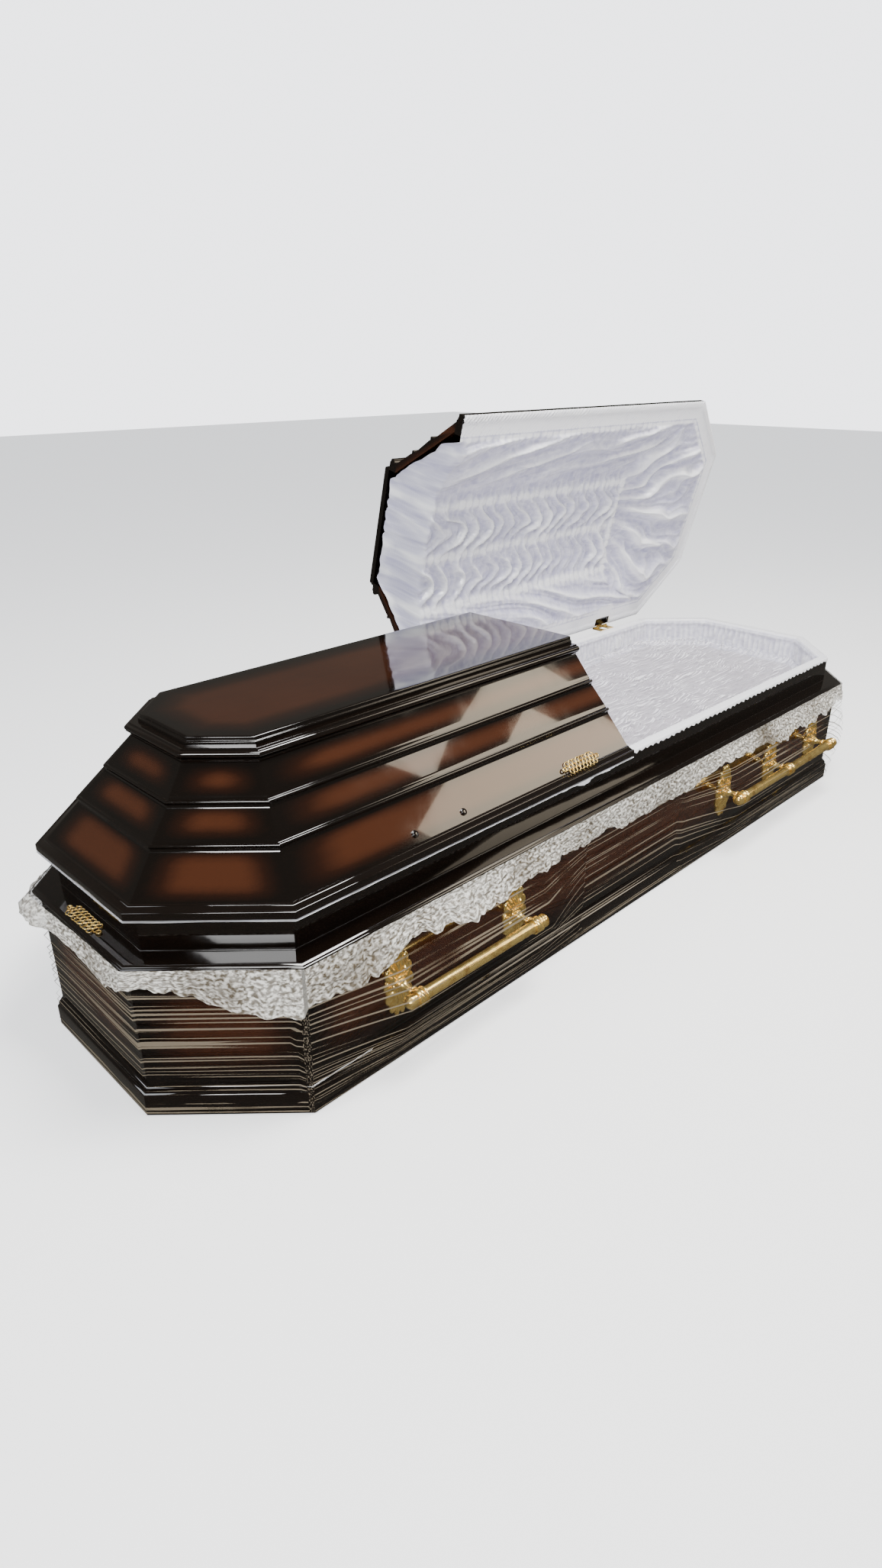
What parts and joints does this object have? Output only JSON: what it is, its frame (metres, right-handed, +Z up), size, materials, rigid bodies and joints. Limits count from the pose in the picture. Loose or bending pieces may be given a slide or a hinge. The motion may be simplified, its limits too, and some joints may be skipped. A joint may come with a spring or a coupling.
{
  "type": "coffin",
  "caption": "Eight-sided lacquered wooden coffin with a closed foot lid, a hinged head lid standing open, satin lining, gilt bar handles and wrapping film.",
  "frame": {"origin": "middle of the flat underside of the base", "axes": "+X towards the head end, +Y towards the hinged side, +Z up"},
  "size_m": [2.05, 0.8344, 0.9217],
  "materials": {
    "lacquered_wood": "high gloss sunburst lacquer, reddish brown fading to black at the edges",
    "black_lacquer": "high gloss near-black lacquer",
    "gilt_metal": "bright gold plating on cast fittings",
    "white_satin": "white satin, gathered on elastic",
    "bedding_cloth": "pale lilac-grey cloth under clear film",
    "clear_film": "clear stretch film with pale stretch lines"
  },
  "bodies": {
    "base": {"bottom_board": "lacquered_wood", "plinth": "black_lacquer", "wall_near": "lacquered_wood", "wall_head_near": "lacquered_wood", "wall_head": "lacquered_wood", "wall_head_far": "lacquered_wood", "wall_far": "lacquered_wood", "wall_foot_far": "lacquered_wood", "wall_foot": "lacquered_wood", "wall_foot_near": "lacquered_wood", "ledge": "black_lacquer", "inner_frame": "black_lacquer", "foot_lid_moulding": "black_lacquer", "foot_lid_near": "lacquered_wood", "foot_lid_far": "lacquered_wood", "foot_lid_corner_near": "lacquered_wood", "foot_lid_end": "lacquered_wood", "foot_lid_corner_far": "lacquered_wood", "foot_lid_cornice": "black_lacquer", "foot_lid_top": "lacquered_wood", "bedding": "bedding_cloth", "base_lining": "white_satin", "foot_lid_lining": "white_satin", "wrapping_film": "clear_film", "hinge_foot_base_leaf": "gilt_metal", "hinge_head_base_leaf": "gilt_metal", "near_foot_bar": "gilt_metal", "near_foot_bracket_1": "gilt_metal", "near_foot_bracket_2": "gilt_metal", "near_head_bar": "gilt_metal", "near_head_bracket_1": "gilt_metal", "near_head_bracket_2": "gilt_metal", "near_head_bracket_3": "gilt_metal", "far_foot_bar": "gilt_metal", "far_foot_bracket_1": "gilt_metal", "far_foot_bracket_2": "gilt_metal", "far_head_bar": "gilt_metal", "far_head_bracket_1": "gilt_metal", "far_head_bracket_2": "gilt_metal", "far_head_bracket_3": "gilt_metal", "ornament_ledge_foot": "gilt_metal", "ornament_lid_near": "gilt_metal", "ornament_lid_far": "gilt_metal", "screw_cap_near_1": "black_lacquer", "screw_cap_near_2": "black_lacquer", "screw_cap_far_1": "black_lacquer", "screw_cap_far_2": "black_lacquer"},
    "head_lid": {"head_lid_moulding": "black_lacquer", "head_lid_near": "lacquered_wood", "head_lid_far": "lacquered_wood", "head_lid_corner_near": "lacquered_wood", "head_lid_end": "lacquered_wood", "head_lid_corner_far": "lacquered_wood", "head_lid_cornice": "black_lacquer", "head_lid_top": "lacquered_wood", "head_lid_lining": "white_satin", "hinge_foot_lid_leaf": "gilt_metal", "hinge_head_lid_leaf": "gilt_metal"}
  },
  "joints": [
    {"name": "head_lid_hinge", "type": "hinge", "parent": "base", "child": "head_lid", "pos_m": [0.4, 0.3068, 0.3283], "axis": [1, 0, 0], "range_deg": [0, 75.5]}
  ]
}
